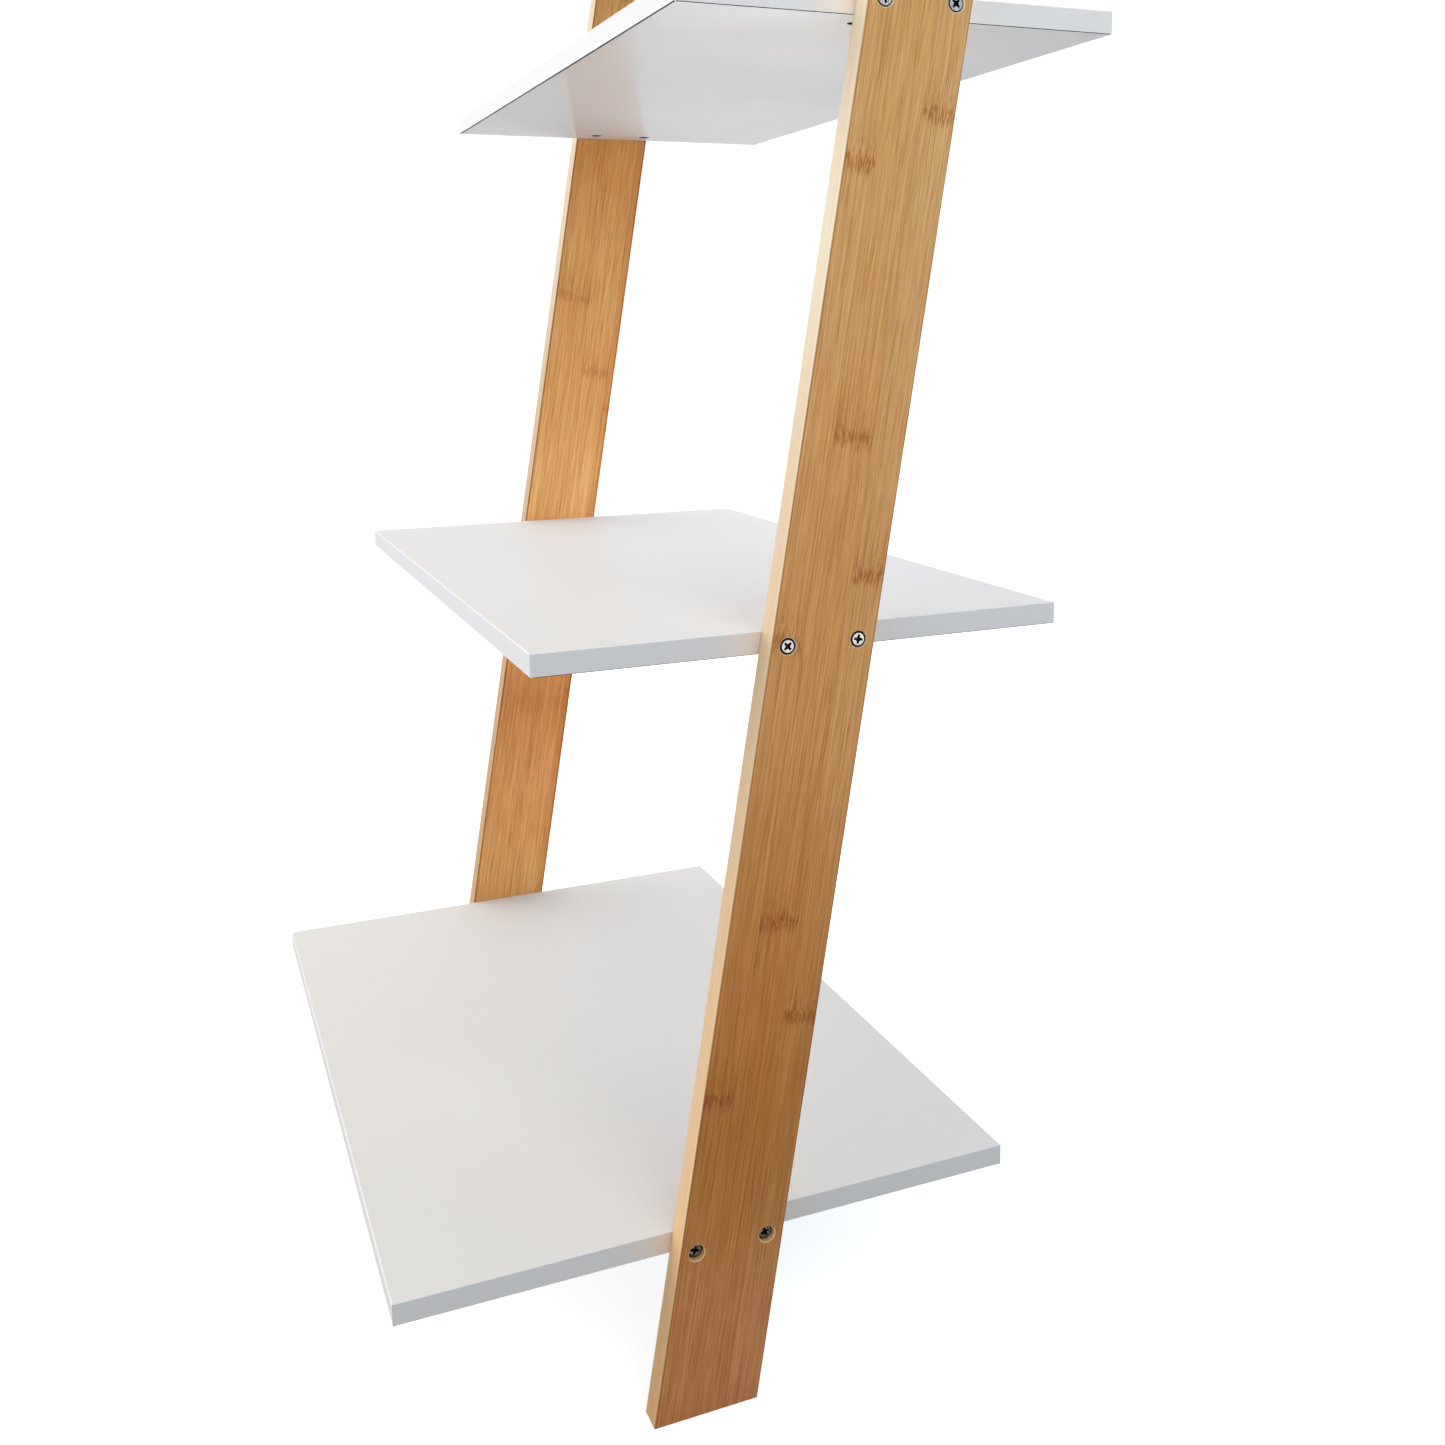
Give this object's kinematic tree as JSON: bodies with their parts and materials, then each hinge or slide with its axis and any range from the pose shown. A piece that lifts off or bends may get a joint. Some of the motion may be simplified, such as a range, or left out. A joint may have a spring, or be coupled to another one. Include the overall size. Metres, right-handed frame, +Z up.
{
  "type": "ladder shelf",
  "caption": "Leaning ladder shelf with flat bamboo uprights and white shelves that get shallower towards the top.",
  "frame": {"origin": "on the floor, at the middle of the whole object's footprint", "axes": "+Z up, +Y towards the wall, +X to the right of someone facing the shelf's front"},
  "size_m": [0.53, 0.4756, 1.48],
  "materials": {
    "bamboo": "laminated bamboo strips under a thin clear satin lacquer",
    "white_board": "satin white laminate on particle board",
    "white_edge": "satin white edge band",
    "zinc_steel": "bright zinc plate",
    "nut_steel": "zinc plate",
    "bracket_steel": "white powder coat"
  },
  "bodies": {
    "root": {"left_upright": "bamboo", "right_upright": "bamboo", "shelf_1_panel": "white_board", "shelf_1_edge_bands": "white_edge", "shelf_1_screws": "zinc_steel", "shelf_1_barrel_nuts": "nut_steel", "shelf_2_panel": "white_board", "shelf_2_edge_bands": "white_edge", "shelf_2_screws": "zinc_steel", "shelf_2_barrel_nuts": "nut_steel", "shelf_3_panel": "white_board", "shelf_3_edge_bands": "white_edge", "shelf_3_screws": "zinc_steel", "shelf_3_barrel_nuts": "nut_steel", "shelf_4_panel": "white_board", "shelf_4_edge_bands": "white_edge", "shelf_4_screws": "zinc_steel", "shelf_4_barrel_nuts": "nut_steel", "shelf_5_panel": "white_board", "shelf_5_edge_bands": "white_edge", "shelf_5_screws": "zinc_steel", "shelf_5_barrel_nuts": "nut_steel", "left_wall_bracket": "bracket_steel", "right_wall_bracket": "bracket_steel", "wall_bracket_screws": "zinc_steel"}
  },
  "joints": []
}
